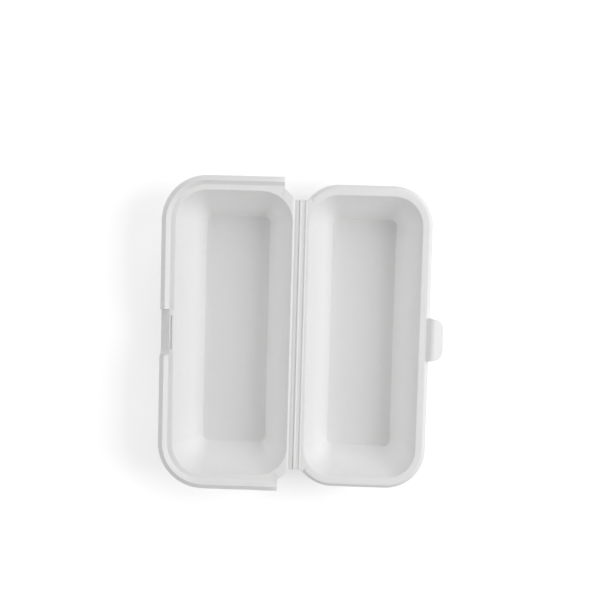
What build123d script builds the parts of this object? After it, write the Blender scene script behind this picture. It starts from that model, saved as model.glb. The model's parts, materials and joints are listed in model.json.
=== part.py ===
from build123d import *
import math
import os

# Foam hot dog box: one sheet of white foam pressed into two trays side by side, a base and a lid, joined
# along a fold. The lid is a little wider at the mouth, its raised rim goes over the base's edge, and a
# tongue on the base tucks into a slit in the lid. Lengths in millimetres. The box lies open on its floors: X runs across the fold,
# Y along it, Z up, and the origin is the middle of the base's underside. The lid lies towards -X.

# Trays
FLOOR_WIDTH = 40.0  # flat inside floor, across
FLOOR_LENGTH = 143.0  # flat inside floor, along
FLOOR_CORNER = 4.0  # radius of the floor's corners in plan
WALL_RUN = 13.6  # how far the base's walls lean out between floor and mouth
LID_SPREAD = 1.3  # how much further the lid's walls lean out
DEPTH = 30.0  # inside floor up to the face where the halves meet
SHEET = 2.2  # foam thickness in floor and walls
RIM_SHEET = 1.8  # foam pressed thinner in the rims
FLOOR_ROUND = 1.2  # inside round between floor and wall
UNDER_ROUND = 3.0  # outside round between floor and wall
LIP_ROUND = 0.8  # round where the wall turns into the rim
ROUND_SHARE = 0.48  # most of a straight run that one round may use
LAP_SHARE = 0.85  # part of the floor's corner radius that is made with the wall

# Hinge
HINGE_MARGIN = 5.9  # base's mouth to fold line
HINGE_LENGTH = 163.0
HINGE_SHEET = 1.4
RIB_ROUND = 0.6  # radius of the two raised lines
RIB_PITCH = 3.4  # fold line to the second raised line
SEAT_GAP = 0.3  # left between the two rims when the box is shut
FOLD_CLEARANCE = 0.1  # lid's strip to the raised line it turns on
GROOVE_CLEARANCE = 0.2  # lid's groove to the raised line it takes in
LIP_MARGIN = 5.0  # fold line to where the base's turned-down edge starts

# Base rim
BASE_FLANGE = 4.3  # flat part beyond the mouth
BASE_LIP_RUN = 2.0  # turned-down edge, outwards
BASE_LIP_DROP = 2.0  # turned-down edge, downwards

# Lid rim
LID_LEDGE = 3.3  # flat part beyond the mouth
RISER_RUN = 2.2  # slope from the ledge up to the crest, outwards
RIM_RISE = 2.2  # crest above the ledge
CREST_WIDTH = 0.3
SKIRT_RUN = 2.9  # slope from the crest down to the outer edge, outwards
FLAT_LEDGE = 5.9  # ledge beyond the mouth at the hinge side, where no rim rises
RIM_HOLD = 0.8  # mouth's line to where the straight ends of the rim join the ledge
END_MARGIN = 9.9  # fold line to where the raised rim starts
END_RUN = 2.7  # slope at the raised rim's two ends
END_WALL = 1.8  # foam that closes the raised rim's ends

# Latch
TONGUE_LENGTH = 25.2  # along the rim
TONGUE_REACH = 10.2  # flange's edge to tip
TONGUE_CREST_OUT = 3.6  # flange's edge to the arch's top
TONGUE_RISE = 2.4  # arch's top above the flange
TONGUE_TIP_RISE = 0.2  # tip above the flange
TONGUE_CORNER = 6.0  # radius of the tip's corners in plan
TONGUE_EDGE = 0.8  # round on the tip's edge
ARCH_ROUND = 6.0  # radius of the arch's top
TONGUE_ROOT = 1.2  # tongue's hold on the flange
SLIT_INSET = 1.2  # mouth to slit
SLIT_WIDTH = 1.2
SLIT_LENGTH = 20.4
BRIDGE = 0.5  # foam between slit and recess
RECESS_CLEARANCE = 0.6  # at each end of the tongue
RECESS_DROP = 4.5  # recess's outer edge below the ledge
CHEEK = 1.6  # foam that closes the recess's two ends

OVERRUN = 5.0  # cutting shapes run this far past what they cut

corner_x = FLOOR_WIDTH / 2 - FLOOR_CORNER
corner_y = FLOOR_LENGTH / 2 - FLOOR_CORNER
lid_run = WALL_RUN + LID_SPREAD
mouth_x = FLOOR_WIDTH / 2 + WALL_RUN
lid_mouth_x = mouth_x + LID_SPREAD
lid_mouth_y = FLOOR_LENGTH / 2 + lid_run
lid_margin = HINGE_MARGIN - LID_SPREAD
face_z = SHEET + DEPTH
fold_x = -mouth_x - HINGE_MARGIN
fold_z = face_z + SEAT_GAP / 2
lid_x = 2 * fold_x
lap = FLOOR_CORNER * LAP_SHARE
lid_edge = LID_LEDGE + RISER_RUN + CREST_WIDTH + SKIRT_RUN
slit_edge = SLIT_INSET + SLIT_WIDTH
recess_start = slit_edge + BRIDGE
recess_length = TONGUE_LENGTH + 2 * RECESS_CLEARANCE
reach_x = lid_mouth_x + lid_edge + OVERRUN
reach_y = lid_mouth_y + lid_edge + OVERRUN


def softened(points, rounds):
    """Face inside an outline, each corner rounded as asked or as far as the runs beside it allow."""
    radii = []
    for number, most in enumerate(rounds):
        here = Vector(*points[number])
        before = here - Vector(*points[number - 1])
        after = Vector(*points[(number + 1) % len(points)]) - here
        bend = math.radians(before.get_angle(after))
        room = ROUND_SHARE * min(before.length, after.length)
        radii.append(min(most, room / math.tan(bend / 2)))
    return make_face(FilletPolyline(*points, radius=radii, close=True))


def section(run, top, under):
    """Section of floor edge, wall and rim. X counts outwards from the mouth, Y up from the meeting face."""
    lean = run / DEPTH
    across = SHEET * math.hypot(1, lean)
    inner = -run - lap
    below = -DEPTH - SHEET
    points = [(inner, -DEPTH), (-run, -DEPTH), (0, 0)]
    points += top + under
    points += [(across - lean * RIM_SHEET, -RIM_SHEET), (across + lean * below, below)]
    points += [(inner, below)]
    rim_rounds = [0] * (len(top) + len(under) + 1)
    return softened(points, [0, FLOOR_ROUND, LIP_ROUND] + rim_rounds + [UNDER_ROUND, 0])


def tray(run, top, under):
    """Carry the section round the rounded mouth and close it with the floor."""
    mouth_corner = FLOOR_CORNER + run
    start = Pos(corner_x + mouth_corner, corner_y, face_z) * (Plane.XZ * section(run, top, under))
    pivot = Axis((corner_x, corner_y, 0), (0, 0, 1))
    turned = start.rotate(pivot, 90)
    quarter = revolve(start, axis=pivot, revolution_arc=90)
    quarter += extrude(start, amount=corner_y, dir=(0, -1, 0))
    quarter += extrude(turned, amount=corner_x, dir=(-1, 0, 0))
    half = quarter + mirror(quarter, about=Plane.XZ)
    ring = half + mirror(half, about=Plane.YZ)
    floor = RectangleRounded(FLOOR_WIDTH - 2 * lap, FLOOR_LENGTH - 2 * lap, FLOOR_CORNER - lap)
    return ring + extrude(floor, amount=SHEET)


def block(x_ends, y_half, z_ends):
    """Upright block between two X and two Z values, as long each way from Y zero."""
    size = (x_ends[1] - x_ends[0], 2 * y_half, z_ends[1] - z_ends[0])
    return Pos(sum(x_ends) / 2, 0, sum(z_ends) / 2) * Box(*size)


def bar(outline, y_half):
    """Outline in X and Z carried the same way to both sides of Y zero."""
    return extrude(Plane.XZ * make_face(Polyline(*outline, close=True)), amount=y_half, both=True)


def rod(x, radius, y_half):
    """Round bar along Y at the height of the fold."""
    return Pos(x, 0, fold_z) * Rot(X=90) * Cylinder(radius, 2 * y_half)


def end_rim(top, under):
    """Rim carried straight past the rounded corners of the mouth along both short ends."""
    outline = [(RIM_HOLD, 0)] + top + under + [(RIM_HOLD, -RIM_SHEET)]
    end = Pos(corner_x, lid_mouth_y, face_z) * (Plane.YZ * make_face(Polyline(*outline, close=True)))
    straight = extrude(end, amount=reach_x, dir=(1, 0, 0))
    return straight + mirror(straight, about=Plane.XZ)


# Base: plain flange with a turned-down edge
base_top = [(BASE_FLANGE, 0), (BASE_FLANGE + BASE_LIP_RUN, -BASE_LIP_DROP)]
base_under = [(x, z - RIM_SHEET) for x, z in reversed(base_top)]
base = tray(WALL_RUN, base_top, base_under)

# Hinge strip with the two raised lines, the first on the fold. The turned-down edge stops short of it.
hinge_half = HINGE_LENGTH / 2
low_z = face_z - RIM_SHEET - RECESS_DROP - OVERRUN
base -= block((fold_x - OVERRUN, fold_x + LIP_MARGIN), reach_y, (low_z, face_z - HINGE_SHEET))
base -= block((fold_x - OVERRUN, fold_x), reach_y, (low_z, face_z + OVERRUN))
base += block((fold_x, fold_x + HINGE_MARGIN - LIP_ROUND), hinge_half, (face_z - HINGE_SHEET, face_z))
base += rod(fold_x, RIB_ROUND, hinge_half)
base += rod(fold_x + RIB_PITCH, RIB_ROUND, hinge_half)

# Tongue: arched tab, D-shaped in plan
tongue_x = mouth_x + BASE_FLANGE
arch = [
    (tongue_x - TONGUE_ROOT, face_z),
    (tongue_x, face_z),
    (tongue_x + TONGUE_CREST_OUT, face_z + TONGUE_RISE),
    (tongue_x + TONGUE_REACH, face_z + TONGUE_TIP_RISE),
]
arch += [(x, z - RIM_SHEET) for x, z in reversed(arch)]
tongue_rounds = [0, 0, ARCH_ROUND, TONGUE_EDGE, TONGUE_EDGE, ARCH_ROUND, 0, 0]
tongue = extrude(Plane.XZ * softened(arch, tongue_rounds), amount=TONGUE_LENGTH / 2, both=True)
tongue_wide = TONGUE_ROOT + TONGUE_REACH
plan = Pos(tongue_x - TONGUE_ROOT + tongue_wide / 2, 0) * Rectangle(tongue_wide, TONGUE_LENGTH)
plan = fillet(plan.vertices().group_by(Axis.X)[-1], TONGUE_CORNER)
base += tongue & extrude(plan, amount=face_z + TONGUE_RISE + OVERRUN)

# Lid: ledge and raised rim. Beside the hinge the ledge goes on flat round the mouth's corners.
lid_top = [
    (LID_LEDGE, 0),
    (LID_LEDGE + RISER_RUN, RIM_RISE),
    (LID_LEDGE + RISER_RUN + CREST_WIDTH, RIM_RISE),
    (lid_edge, 0),
]
lid_under = [(x, z - RIM_SHEET) for x, z in reversed(lid_top)]
slope_top = face_z + RIM_RISE + OVERRUN
rimmed_side = block((-reach_x, corner_x), reach_y, (-OVERRUN, slope_top))
lid = tray(lid_run, lid_top, lid_under) & rimmed_side
end_x = lid_mouth_x + lid_margin - END_MARGIN
bays = block((corner_x, end_x), reach_y, (low_z, slope_top))
bays -= block((-reach_x, reach_x), lid_mouth_y + RIM_HOLD, (low_z, slope_top))
lid += tray(lid_run, [(FLAT_LEDGE, 0)], [(FLAT_LEDGE, -RIM_SHEET)]) - rimmed_side - bays

# Straight ends of the raised rim, each closed by a slope
slope_x = end_x - END_RUN * (slope_top - face_z) / RIM_RISE
free_side = bar(
    [(-reach_x, -OVERRUN), (end_x, -OVERRUN), (end_x, face_z), (slope_x, slope_top), (-reach_x, slope_top)],
    reach_y,
)
hollow_side = Pos(-END_WALL, 0, 0) * free_side
lid += end_rim(lid_top, lid_under) & hollow_side
lid += end_rim(lid_top, lid_under[:1]) & (free_side - hollow_side)

# Recess for the tongue: the raised rim gives way to a slope that runs down and out, closed at both ends
recess_half = recess_length / 2
slope = [(-lid_mouth_x - recess_start, face_z), (-lid_mouth_x - lid_edge, face_z - RECESS_DROP)]
slope += [(x, z - RIM_SHEET) for x, z in reversed(slope)]
cheek = [slope[0], (-lid_mouth_x - lid_edge, face_z), slope[2], slope[3]]
lid -= block((-reach_x, -lid_mouth_x - recess_start), recess_half, (low_z, slope_top))
lid += bar(cheek, recess_half + CHEEK) - block((-reach_x, -lid_mouth_x), recess_half, (low_z, slope_top))
lid += bar(slope, recess_half)
lid -= block((-lid_mouth_x - slit_edge, -lid_mouth_x - SLIT_INSET), SLIT_LENGTH / 2, (low_z, slope_top))
lid = Pos(lid_x, 0, 0) * lid

# Lid's side of the hinge: cut at the fold, hollowed for the two raised lines
lid += block((fold_x - lid_margin + LIP_ROUND, fold_x), hinge_half, (face_z - HINGE_SHEET, face_z))
lid -= block((fold_x - FOLD_CLEARANCE, fold_x + reach_x), reach_y, (low_z, slope_top))
lid -= rod(fold_x, RIB_ROUND + FOLD_CLEARANCE, reach_y)
lid -= rod(fold_x - RIB_PITCH, RIB_ROUND + GROOVE_CLEARANCE, reach_y)

os.makedirs("parts", exist_ok=True)
export_step(base, "parts/base_tray.step")
export_step(lid, "parts/lid_tray.step")
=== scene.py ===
import json
import math
import bmesh
import bpy
from mathutils import Euler, Matrix, Vector


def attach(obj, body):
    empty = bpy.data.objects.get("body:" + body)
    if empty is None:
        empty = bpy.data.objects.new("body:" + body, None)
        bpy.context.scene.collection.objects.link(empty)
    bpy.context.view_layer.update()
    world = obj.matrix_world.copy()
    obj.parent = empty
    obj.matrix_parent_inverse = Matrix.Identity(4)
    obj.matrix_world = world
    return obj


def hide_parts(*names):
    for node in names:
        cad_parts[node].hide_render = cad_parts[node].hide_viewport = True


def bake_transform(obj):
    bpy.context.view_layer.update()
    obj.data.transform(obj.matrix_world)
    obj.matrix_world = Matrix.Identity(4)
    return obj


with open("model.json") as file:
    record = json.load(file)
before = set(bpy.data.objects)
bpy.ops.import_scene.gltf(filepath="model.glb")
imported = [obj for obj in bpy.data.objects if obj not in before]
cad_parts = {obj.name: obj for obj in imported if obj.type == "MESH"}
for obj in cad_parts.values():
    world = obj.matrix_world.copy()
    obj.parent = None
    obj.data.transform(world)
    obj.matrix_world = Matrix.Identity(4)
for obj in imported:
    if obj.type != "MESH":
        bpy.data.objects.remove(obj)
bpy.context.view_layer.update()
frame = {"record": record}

# Base tray: the half that holds the food, pressed from a sheet of white polystyrene foam. Its walls lean
# out to a flat flange with a turned-down edge, and an arched tongue stands out from its free long side.
# On the fold side the flange runs flat to the fold and carries two raised lines.
MM = 0.001
FLOOR_WIDTH = 40 * MM
FLOOR_LENGTH = 143 * MM
FLOOR_CORNER = 4 * MM
FLOOR_HOLD = 3.4 * MM
WALL_RUN = 13.6 * MM
DEPTH = 30 * MM
SHEET = 2.2 * MM
RIM_SHEET = 1.8 * MM
HINGE_SHEET = 1.4 * MM
HINGE_HALF = 81.5 * MM
HINGE_MARGIN = 5.9 * MM
RIB_ROUND = 0.6 * MM
RIB_HALF = 81.2 * MM
RIB_PITCH = 3.4 * MM
FLANGE = 4.3 * MM
FLANGE_RISE = 0.2 * MM
TURN_RUN = 2 * MM
TURN_DROP = 2 * MM
TURN_END = math.radians(48)
TONGUE_HALF = 12.6 * MM
TONGUE_REACH = 10.2 * MM
TONGUE_CREST = 3.6 * MM
TONGUE_RISE = 2.4 * MM
TONGUE_TIP_RISE = 0.2 * MM
TONGUE_CORNER = 6 * MM
TONGUE_SIDE = 0.6 * MM
FLOOR_SOFT = 0.5 * MM
UNDER_SOFT = 2 * MM
LIP_SOFT = 0.6 * MM
EDGE_SOFT = 0.5 * MM
TURN_SOFT = 0.7 * MM
TONGUE_SOFT = 2 * MM
SOFT_SHARE = 0.45
SOFT_STEPS = 4
CORNER_STEPS = 16
HALF_STEPS = CORNER_STEPS // 2
WELD = 0.001 * MM
CREASE = math.radians(40)
ORDER = Vector((1, math.sqrt(2), math.sqrt(3)))

corner = Vector((FLOOR_WIDTH / 2 - FLOOR_CORNER, FLOOR_LENGTH / 2 - FLOOR_CORNER))
fold_corner = Vector((-corner.x, corner.y))
face_z = SHEET + DEPTH
fold = Vector(frame["record"]["behaviour"]["joints"][0]["pos_m"])


def soft_line(corners):
    """Points of an open line whose corners (out, up, soft) are eased over the length soft on both sides."""
    points = []
    for number, (out, up, soft) in enumerate(corners):
        here = Vector((out, up))
        if not soft:
            points.append(here)
            continue
        before = Vector(corners[number - 1][:2]) - here
        after = Vector(corners[number + 1][:2]) - here
        soft = min(soft, SOFT_SHARE * before.length, SOFT_SHARE * after.length)
        start = here + before.normalized() * soft
        end = here + after.normalized() * soft
        for step in range(SOFT_STEPS + 1):
            share = step / SOFT_STEPS
            points.append(start.lerp(here, share).lerp(here.lerp(end, share), share))
    return points


def wall_section(run, rim, sheet):
    """Corners from the floor up the wall, over the rim, which is given from top to underside, and back."""
    lean = run / DEPTH
    across = SHEET * math.hypot(1, lean)
    below = -DEPTH - SHEET
    inside = [(-run - FLOOR_HOLD, -DEPTH, 0), (-run, -DEPTH, FLOOR_SOFT), (0, 0, LIP_SOFT)]
    outside = [(across - lean * sheet, -sheet, LIP_SOFT), (across + lean * below, below, UNDER_SOFT)]
    return inside + rim + outside + [(-run - FLOOR_HOLD, below, 0)]


def rim_with_under(top, sheet):
    """Rim corners given on the upper side, followed by the same corners on the lower side."""
    return top + [(out, up - sheet, soft) for out, up, soft in reversed(top)]


def level_line(start, end, corners):
    """Rim line of so many corners that runs level from one distance out to another."""
    step = (end - start) / corners
    return [(start + step * (number + 1), 0, EDGE_SOFT) for number in range(corners)]


def cut_edge(foam, centre, heading, mouth, corners, rail=None):
    """Edges of a cut through the sheet, standing at a heading from the corner's centre.

    A rail, given by its ends at the mouth and outside, takes the rim off that heading.
    """
    ray = Vector((math.cos(heading), math.sin(heading)))
    line = soft_line(corners)
    reach = max(out for out, up, soft in corners)
    wall_points = 1 + 2 * (SOFT_STEPS + 1)
    verts = []
    for number, (out, up) in enumerate(line):
        place = centre + ray * (mouth + out)
        if rail and wall_points <= number < len(line) - wall_points:
            place = rail[0].lerp(rail[1], out / reach)
        verts.append(foam.verts.new((place.x, place.y, face_z + up)))
    return [foam.edges.new(pair) for pair in zip(verts, verts[1:])]


def run_on(foam, start, end):
    """Foam between two cut edges. Gives back the second one."""
    bmesh.ops.bridge_loops(foam, edges=start + end)
    return end


def run_round(foam, start, centre, turn, steps):
    """Foam swept round a corner from a cut edge. Gives back the cut edge at its other end."""
    swept = bmesh.ops.spin(
        foam, geom=start, cent=centre.to_3d(), axis=(0, 0, 1), angle=turn, steps=steps, use_duplicate=False
    )
    return [part for part in swept["geom_last"] if isinstance(part, bmesh.types.BMEdge)]


def mirrored(foam):
    """Makes half a tray whole across the middle of its length, and closes its floor above and below."""
    bmesh.ops.mirror(foam, geom=foam.verts[:] + foam.edges[:] + foam.faces[:], axis="Y", merge_dist=0)
    bmesh.ops.remove_doubles(foam, verts=foam.verts, dist=WELD)
    bmesh.ops.holes_fill(foam, edges=[edge for edge in foam.edges if edge.is_boundary], sides=0)
    bmesh.ops.recalc_face_normals(foam, faces=foam.faces)


def finished(name, foam):
    """Object from a bmesh, put in order, smooth apart from sharp creases, with even shading on its flats."""
    foam.verts.sort(key=lambda vert: vert.co.dot(ORDER))
    foam.faces.sort(key=lambda face: face.calc_center_median().dot(ORDER))
    for face in foam.faces:
        face.smooth = True
    data = bpy.data.meshes.new(name)
    foam.to_mesh(data)
    foam.free()
    data.set_sharp_from_angle(angle=CREASE)
    piece = bpy.data.objects.new(name, data)
    bpy.context.scene.collection.objects.link(piece)
    even = piece.modifiers.new("even_flats", "WEIGHTED_NORMAL")
    even.keep_sharp = True
    return piece


turned = [
    (FLANGE, FLANGE_RISE, TURN_SOFT),
    (FLANGE + TURN_RUN / 2, -TURN_DROP / 2, EDGE_SOFT),
    (FLANGE + TURN_RUN, -TURN_DROP, EDGE_SOFT),
]
mouth = FLOOR_CORNER + WALL_RUN
plain = wall_section(WALL_RUN, rim_with_under(turned, RIM_SHEET), RIM_SHEET)
base_foam = bmesh.new()


def flat(reach):
    """Section through the level part beside the fold, where it reaches so far out."""
    level = level_line(0, reach, len(turned))
    return wall_section(WALL_RUN, rim_with_under(level, HINGE_SHEET), HINGE_SHEET)


def arched(reach):
    """Section through the tongue where it reaches so far out, along its arch."""
    fall = (TONGUE_RISE - TONGUE_TIP_RISE) * (reach - TONGUE_CREST) / (TONGUE_REACH - TONGUE_CREST)
    arch = [
        (FLANGE, 0, EDGE_SOFT),
        (FLANGE + TONGUE_CREST, TONGUE_RISE, TONGUE_SOFT),
        (FLANGE + reach, TONGUE_RISE - fall, EDGE_SOFT),
    ]
    return wall_section(WALL_RUN, rim_with_under(arch, RIM_SHEET), RIM_SHEET)


# Free side with the tongue, whose tip turns a round corner
edge = cut_edge(base_foam, Vector((corner.x, 0)), 0, mouth, arched(TONGUE_REACH))
for step in range(HALF_STEPS + 1):
    turn = math.pi / 2 * step / HALF_STEPS
    along = TONGUE_HALF - TONGUE_CORNER + TONGUE_CORNER * math.sin(turn)
    reach = TONGUE_REACH - TONGUE_CORNER + TONGUE_CORNER * math.cos(turn)
    edge = run_on(base_foam, edge, cut_edge(base_foam, Vector((corner.x, along)), 0, mouth, arched(reach)))
beside_tongue = Vector((corner.x, TONGUE_HALF + TONGUE_SIDE))
edge = run_on(base_foam, edge, cut_edge(base_foam, beside_tongue, 0, mouth, plain))

# Corner at the free side, short end, and corner at the fold as far as its edge is turned down
edge = run_on(base_foam, edge, cut_edge(base_foam, corner, 0, mouth, plain))
edge = run_round(base_foam, edge, corner, math.pi / 2, CORNER_STEPS)
edge = run_on(base_foam, edge, cut_edge(base_foam, fold_corner, math.pi / 2, mouth, plain))
edge = run_round(base_foam, edge, fold_corner, TURN_END, HALF_STEPS)

# Flat strip up to the fold
strip_out = mouth + HINGE_MARGIN
strip_end = HINGE_HALF - corner.y
strip_turn = math.acos(strip_end / (mouth + FLANGE + TURN_RUN))
for turn in ((TURN_END + strip_turn) / 2, strip_turn):
    section = flat(FLANGE + TURN_RUN)
    edge = run_on(base_foam, edge, cut_edge(base_foam, fold_corner, math.pi / 2 + turn, mouth, section))
end_turn = math.atan2(strip_out, strip_end)
for step in range(HALF_STEPS + 1):
    turn = end_turn + (math.pi / 2 - end_turn) * step / HALF_STEPS
    section = flat(strip_out / math.sin(turn) - mouth)
    edge = run_on(base_foam, edge, cut_edge(base_foam, fold_corner, math.pi / 2 + turn, mouth, section))
run_on(base_foam, edge, cut_edge(base_foam, Vector((-corner.x, 0)), math.pi, mouth, flat(HINGE_MARGIN)))
mirrored(base_foam)

# The two raised lines beside the fold
for across in (fold.x, fold.x + RIB_PITCH):
    along_y = Matrix.Translation((across, 0, fold.z)) @ Matrix.Rotation(math.pi / 2, 4, "X")
    bmesh.ops.create_cone(
        base_foam, cap_ends=True, segments=CORNER_STEPS, radius1=RIB_ROUND, radius2=RIB_ROUND,
        depth=2 * RIB_HALF, matrix=along_y,
    )
base = finished("foam_base", base_foam)


class Pattern:
    """A shader value that adds and multiplies like a number, so that a pattern reads as a formula."""

    def __init__(self, tree, socket=None):
        self.tree = tree
        self.socket = socket

    def feed(self, socket, value):
        if isinstance(value, Pattern):
            self.tree.links.new(value.socket, socket)
        else:
            socket.default_value = value

    def node(self, kind, result, settings, inputs):
        made = self.tree.nodes.new(kind)
        for name, value in settings.items():
            setattr(made, name, value)
        for name, value in inputs.items():
            self.feed(made.inputs[name], value)
        return Pattern(self.tree, made.outputs[result])

    def __add__(self, other):
        return self.node("ShaderNodeMath", "Value", {"operation": "ADD"}, {0: self, 1: other})

    def __mul__(self, other):
        return self.node("ShaderNodeMath", "Value", {"operation": "MULTIPLY"}, {0: self, 1: other})

    __radd__ = __add__
    __rmul__ = __mul__


def foam_material():
    """Pressed polystyrene foam: white satin skin over fine cells, a little uneven in colour and gloss."""
    cell = 0.55 * MM
    mottle = 5 * MM
    mottle_detail = 3
    sag = 28 * MM
    sag_detail = 1
    white = (0.875, 0.878, 0.872, 1)
    thin = (0.835, 0.838, 0.834, 1)
    cloud_share = 0.7
    satin = 0.4
    cloud_rough = 0.2
    cell_rough = 0.06
    cell_height = 0.04
    cloud_height = 0.06
    wave_height = 0.35
    relief_share = 0.5
    relief = 0.4 * MM
    shine = 0.35
    glow_share = 0.12
    glow_spread = (1, 1, 1)
    glow_reach = 1.5 * MM
    material = bpy.data.materials.new("white_foam")
    material.use_nodes = True
    tree = material.node_tree
    skin = tree.nodes["Principled BSDF"]
    place = Pattern(tree).node("ShaderNodeTexCoord", "Object", {}, {})
    cells = place.node("ShaderNodeTexVoronoi", "Distance", {}, {"Vector": place, "Scale": 1 / cell})
    mottling = {"Vector": place, "Scale": 1 / mottle, "Detail": mottle_detail}
    clouds = place.node("ShaderNodeTexNoise", "Fac", {}, mottling)
    sagging = {"Vector": place, "Scale": 1 / sag, "Detail": sag_detail}
    waves = place.node("ShaderNodeTexNoise", "Fac", {}, sagging)
    patchy = clouds * cloud_share + cells * (1 - cloud_share)
    whites = {"Factor": patchy, "A": white, "B": thin}
    tint = place.node("ShaderNodeMix", "Result", {"data_type": "RGBA"}, whites)
    height = cells * cell_height + clouds * cloud_height + waves * wave_height
    uneven = {"Height": height, "Strength": relief_share, "Distance": relief}
    place.feed(skin.inputs["Base Color"], tint)
    place.feed(skin.inputs["Roughness"], satin + clouds * cloud_rough + cells * cell_rough)
    place.feed(skin.inputs["Normal"], place.node("ShaderNodeBump", "Normal", {}, uneven))
    place.feed(skin.inputs["Specular IOR Level"], shine)
    place.feed(skin.inputs["Subsurface Weight"], glow_share)
    place.feed(skin.inputs["Subsurface Radius"], glow_spread)
    place.feed(skin.inputs["Subsurface Scale"], glow_reach)
    return material


white_foam = foam_material()
base.data.materials.append(white_foam)
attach(base, "base")
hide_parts("base_tray")

# Lid tray: the other half of the same foam sheet, a little wider at the mouth. A raised rim goes round
# three of its sides and runs out straight beside the fold. In the middle of the free long side the rim
# gives way to a slope for the tongue, and a slit is cut through the ledge for the tongue's tip.
LID_SPREAD = 1.3 * MM
LEDGE = 3.3 * MM
LEDGE_FALL = 0.8 * MM
RISER_RUN = 2.2 * MM
RIM_RISE = 2.2 * MM
CREST = 0.3 * MM
SKIRT_RUN = 2.9 * MM
CREST_SOFT = 0.8 * MM
FLAT_LEDGE = 5.9 * MM
RIM_END = 9.9 * MM
RIM_END_RUN = 2.7 * MM
RIM_END_STEP = 0.15 * MM
FOLD_GAP = 0.6 * MM
GROOVE_HALF = 1.2 * MM
GROOVE_DROP = 0.52 * MM
SLIT_INSET = 1.2 * MM
SLIT_WIDTH = 1.2 * MM
SLIT_UNDER = 2.2 * MM
SLIT_RISE = 0.25 * MM
SLIT_HALF = 10.2 * MM
SLIT_STEPS = 3
RECESS_START = 2.9 * MM
RECESS_DROP = 4.5 * MM
RECESS_HALF = 13.2 * MM
CHEEK = 1 * MM

lid_run = WALL_RUN + LID_SPREAD
mouth = FLOOR_CORNER + lid_run
lid_margin = HINGE_MARGIN - LID_SPREAD
lid_edge = LEDGE + RISER_RUN + CREST + SKIRT_RUN
outs = (LEDGE, LEDGE + RISER_RUN, LEDGE + RISER_RUN + CREST, lid_edge)
slit_edge = SLIT_INSET + SLIT_WIDTH
lid_foam = bmesh.new()


def lid_section(line, sheet):
    """Lid section with the slit's two edges on the ledge, then the rim's line of (out, up, soft)."""
    ledge_slope = line[0][1] / line[0][0]
    top = [(out, ledge_slope * out, 0) for out in (SLIT_INSET, slit_edge)]
    under = [(slit_edge, -sheet, 0), (SLIT_UNDER, -sheet, 0)]
    return wall_section(lid_run, top + rim_with_under(line, sheet) + under, sheet)


def level_section(reach, sheet):
    """Lid section that runs level as far out as it reaches."""
    return lid_section(level_line(slit_edge, reach, len(outs)), sheet)


def in_slit(face):
    """Whether a face on the ledge, above or below, lies in the slit."""
    middle = face.calc_center_median()
    inner = SLIT_INSET if middle.z > face_z - RIM_SHEET / 2 else SLIT_UNDER
    return abs(middle.y) < SLIT_HALF and inner < middle.x - corner.x - mouth < slit_edge


ups = (-LEDGE_FALL, RIM_RISE, RIM_RISE, 0)
softs = (LIP_SOFT, CREST_SOFT, CREST_SOFT, EDGE_SOFT)
raised = lid_section(list(zip(outs, ups, softs)), RIM_SHEET)
lowered = lid_section([(out, 0, EDGE_SOFT) for out in outs], RIM_SHEET)
ledge = level_section(FLAT_LEDGE, RIM_SHEET)
slope = RECESS_DROP / (lid_edge - RECESS_START)
sloped = [(out, (RECESS_START - out) * slope, EDGE_SOFT) for out in outs[1:]]
recess = lid_section([(RECESS_START, SLIT_RISE, LIP_SOFT)] + sloped, RIM_SHEET)
recess_end = lid_section([(RECESS_START, -LEDGE_FALL, LIP_SOFT)] + sloped, RIM_SHEET)

# Free side with slit and recess, corner, and short end
edge = cut_edge(lid_foam, Vector((corner.x, 0)), 0, mouth, recess)
for step in range(1, SLIT_STEPS + 1):
    along = SLIT_HALF * step / SLIT_STEPS
    edge = run_on(lid_foam, edge, cut_edge(lid_foam, Vector((corner.x, along)), 0, mouth, recess))
edge = run_on(lid_foam, edge, cut_edge(lid_foam, Vector((corner.x, RECESS_HALF)), 0, mouth, recess_end))
edge = run_on(lid_foam, edge, cut_edge(lid_foam, Vector((corner.x, RECESS_HALF + CHEEK)), 0, mouth, raised))
edge = run_on(lid_foam, edge, cut_edge(lid_foam, corner, 0, mouth, raised))
edge = run_round(lid_foam, edge, corner, math.pi / 2, CORNER_STEPS)

# Corner at the fold: straight end of the rim, then the flat ledge, then the strip up to the fold
rim_end = lid_margin + mouth - RIM_END
ledge_turn = math.asin(rim_end / (mouth + FLAT_LEDGE))
strip_turn = math.acos(strip_end / (mouth + FLAT_LEDGE))
for across in (0, rim_end / 2, rim_end - RIM_END_RUN, rim_end):
    section = lowered if across == rim_end else raised
    beside = fold_corner + Vector((-across, mouth))
    rail = (beside, beside + Vector((0, lid_edge)))
    heading = math.pi / 2 + ledge_turn * across / rim_end
    edge = run_on(lid_foam, edge, cut_edge(lid_foam, fold_corner, heading, mouth, section, rail))
beside += Vector((-RIM_END_STEP, 0))
cut = math.sqrt((mouth + FLAT_LEDGE) ** 2 - (rim_end + RIM_END_STEP) ** 2)
rail = (beside, beside + Vector((0, cut - mouth)))
edge = run_on(lid_foam, edge, cut_edge(lid_foam, fold_corner, heading, mouth, ledge, rail))
step_turn = (strip_turn - ledge_turn) / HALF_STEPS
edge = run_on(lid_foam, edge, cut_edge(lid_foam, fold_corner, heading + step_turn, mouth, ledge))
edge = run_round(lid_foam, edge, fold_corner, strip_turn - ledge_turn - step_turn, HALF_STEPS - 1)
strip_out = mouth + lid_margin - FOLD_GAP
end_turn = math.atan2(strip_out, strip_end)
for step in range(HALF_STEPS + 1):
    turn = end_turn + (math.pi / 2 - end_turn) * step / HALF_STEPS
    section = level_section(strip_out / math.sin(turn) - mouth, HINGE_SHEET)
    edge = run_on(lid_foam, edge, cut_edge(lid_foam, fold_corner, math.pi / 2 + turn, mouth, section))
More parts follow.
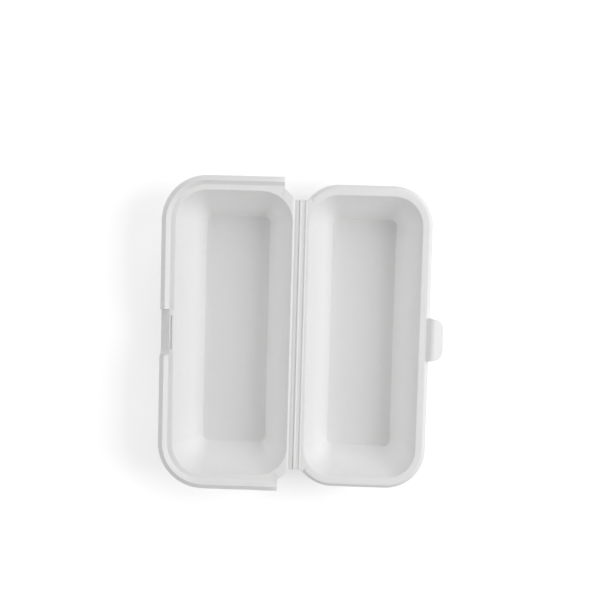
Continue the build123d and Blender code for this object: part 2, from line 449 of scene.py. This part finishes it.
run_on(lid_foam, edge, cut_edge(lid_foam, Vector((-corner.x, 0)), math.pi, mouth, section))
mirrored(lid_foam)

# The groove that takes the second raised line when the box is shut
groove_x = fold.x + RIB_PITCH
for across in (-GROOVE_HALF, 0, GROOVE_HALF):
    level = [face for face in lid_foam.faces if all(abs(vert.co.z - face_z) < WELD for vert in face.verts)]
    sides = list(dict.fromkeys(side for face in level for side in face.edges))
    place = (groove_x + across, 0, 0)
    bmesh.ops.bisect_plane(lid_foam, geom=level + sides, dist=WELD, plane_co=place, plane_no=(1, 0, 0))
for vert in lid_foam.verts:
    if vert.co.z > face_z - EDGE_SOFT:
        vert.co.z -= GROOVE_DROP * max(0, 1 - abs(vert.co.x - groove_x) / GROOVE_HALF)

# The slit, cut through the ledge, then the whole lid turned over to its own side of the fold
slit_faces = [face for face in lid_foam.faces if in_slit(face)]
bmesh.ops.delete(lid_foam, geom=slit_faces, context="FACES")
bmesh.ops.bridge_loops(lid_foam, edges=[edge for edge in lid_foam.edges if edge.is_boundary])
other_side = Matrix.Translation((2 * fold.x, 0, 0)) @ Matrix.Scale(-1, 4, (1, 0, 0))
bmesh.ops.transform(lid_foam, matrix=other_side, verts=lid_foam.verts)
bmesh.ops.recalc_face_normals(lid_foam, faces=lid_foam.faces)
lid = finished("foam_lid", lid_foam)
lid.data.materials.append(white_foam)
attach(lid, "lid")
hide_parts("lid_tray")

# Fold: the skin of the sheet between the halves, pressed thin so that it bends. It lies level under the
# first raised line, as it does while the box is open.
WEB_INNER = 0.7 * MM
WEB_OUTER = 1.53 * MM
WEB_BASE = 0.8 * MM
WEB_LID = 1.3 * MM
WEB_CUTS = 13
web = bmesh.new()
web_size = Vector((WEB_BASE + WEB_LID, 2 * HINGE_HALF, WEB_OUTER - WEB_INNER))
web_middle = fold + Vector(((WEB_BASE - WEB_LID) / 2, 0, -(WEB_INNER + WEB_OUTER) / 2))
bmesh.ops.create_cube(web, matrix=Matrix.LocRotScale(web_middle, None, web_size))
across_fold = [edge for edge in web.edges if edge.verts[0].co.x != edge.verts[1].co.x]
bmesh.ops.subdivide_edges(web, edges=across_fold, cuts=WEB_CUTS, use_grid_fill=True)
skin = finished("foam_fold", web)
skin.data.materials.append(white_foam)
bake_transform(skin)

# Floor: a plain white table top that runs out of the picture. It glows a little for the camera, so that
# the ground is white as in the photograph and the contact shadow still shows, and more towards its far
# edges, which pass into the white surround.
FLOOR_HALF = 1000 * MM
FLOOR_GLOW = 0.36
FLOOR_FADE = 0.5
FLOOR_WHITE = (0.9, 0.9, 0.9, 1)
surface = bmesh.new()
bmesh.ops.create_grid(surface, x_segments=1, y_segments=1, size=FLOOR_HALF)
floor = finished("floor", surface)
floor_white = bpy.data.materials.new("floor_white")
floor_white.use_nodes = True
tree = floor_white.node_tree
tree.nodes.remove(tree.nodes["Principled BSDF"])
seen = Pattern(tree).node("ShaderNodeLightPath", "Is Camera Ray", {}, {})
matt = seen.node("ShaderNodeBsdfDiffuse", "BSDF", {}, {"Color": FLOOR_WHITE})
table = seen.node("ShaderNodeTexCoord", "Object", {}, {})
far = seen.node("ShaderNodeVectorMath", "Value", {"operation": "LENGTH"}, {"Vector": table})
strength = seen * (FLOOR_GLOW + far * far * FLOOR_FADE)
glow = seen.node("ShaderNodeEmission", "Emission", {}, {"Strength": strength})
both = seen.node("ShaderNodeAddShader", "Shader", {}, {0: matt, 1: glow})
seen.feed(tree.nodes["Material Output"].inputs["Surface"], both)
floor.data.materials.append(floor_white)

# Studio light: a softbox on the right, at a height that lights the walls down to the floor, weaker ones on
# the other three sides, and an even surround. Each has its place and side length in metres and its watts.
SURROUND = 0.2
SURROUND_WHITE = (1, 1, 1, 1)
SOFTBOXES = {
    "key": ((0.75, 0.075, 0.63), 0.68, 6.3),
    "back": ((0, 0.8, 0.6), 0.7, 2.3),
    "left": ((-0.9, 0, 0.62), 0.7, 2.8),
    "front": ((0, -0.85, 0.62), 0.7, 1.2),
}
world = bpy.data.worlds.new("studio")
bpy.context.scene.world = world
world.use_nodes = True
surround = world.node_tree.nodes["Background"]
seen = Pattern(world.node_tree).node("ShaderNodeLightPath", "Is Camera Ray", {}, {})
seen.feed(surround.inputs["Color"], SURROUND_WHITE)
seen.feed(surround.inputs["Strength"], SURROUND + (1 - SURROUND) * seen)
under_fold = Vector((fold.x, 0, 0))
for name, (place, side, power) in SOFTBOXES.items():
    data = bpy.data.lights.new(name, "AREA")
    data.shape = "SQUARE"
    data.size = side
    data.energy = power
    lamp = bpy.data.objects.new(name, data)
    bpy.context.scene.collection.objects.link(lamp)
    lamp.location = place
    lamp.rotation_mode = "QUATERNION"
    lamp.rotation_quaternion = (under_fold - Vector(place)).to_track_quat("-Z", "Y")

# Camera: looks almost straight down into the open box, a little from its front end and a little turned. The
# turn is about the middle of the fold, which the camera sees at the place given from its own axes.
SENSOR = 36
FOCUS_SHARE = 1000 / 600
CAMERA_TURN = Euler((-0.07005, 0.02723, 0.02957), "ZYX")
AIM_SEEN = Vector((-1.7 * MM, -21.72 * MM, -601.85 * MM))
lens = bpy.data.cameras.new("camera")
lens.sensor_width = SENSOR
lens.lens = SENSOR * FOCUS_SHARE
camera = bpy.data.objects.new("camera", lens)
bpy.context.scene.collection.objects.link(camera)
camera.rotation_mode = "ZYX"
camera.rotation_euler = CAMERA_TURN
camera.location = Vector((fold.x, 0, face_z)) - CAMERA_TURN.to_matrix() @ AIM_SEEN
bpy.context.scene.camera = camera
bpy.context.scene.view_settings.view_transform = "Standard"
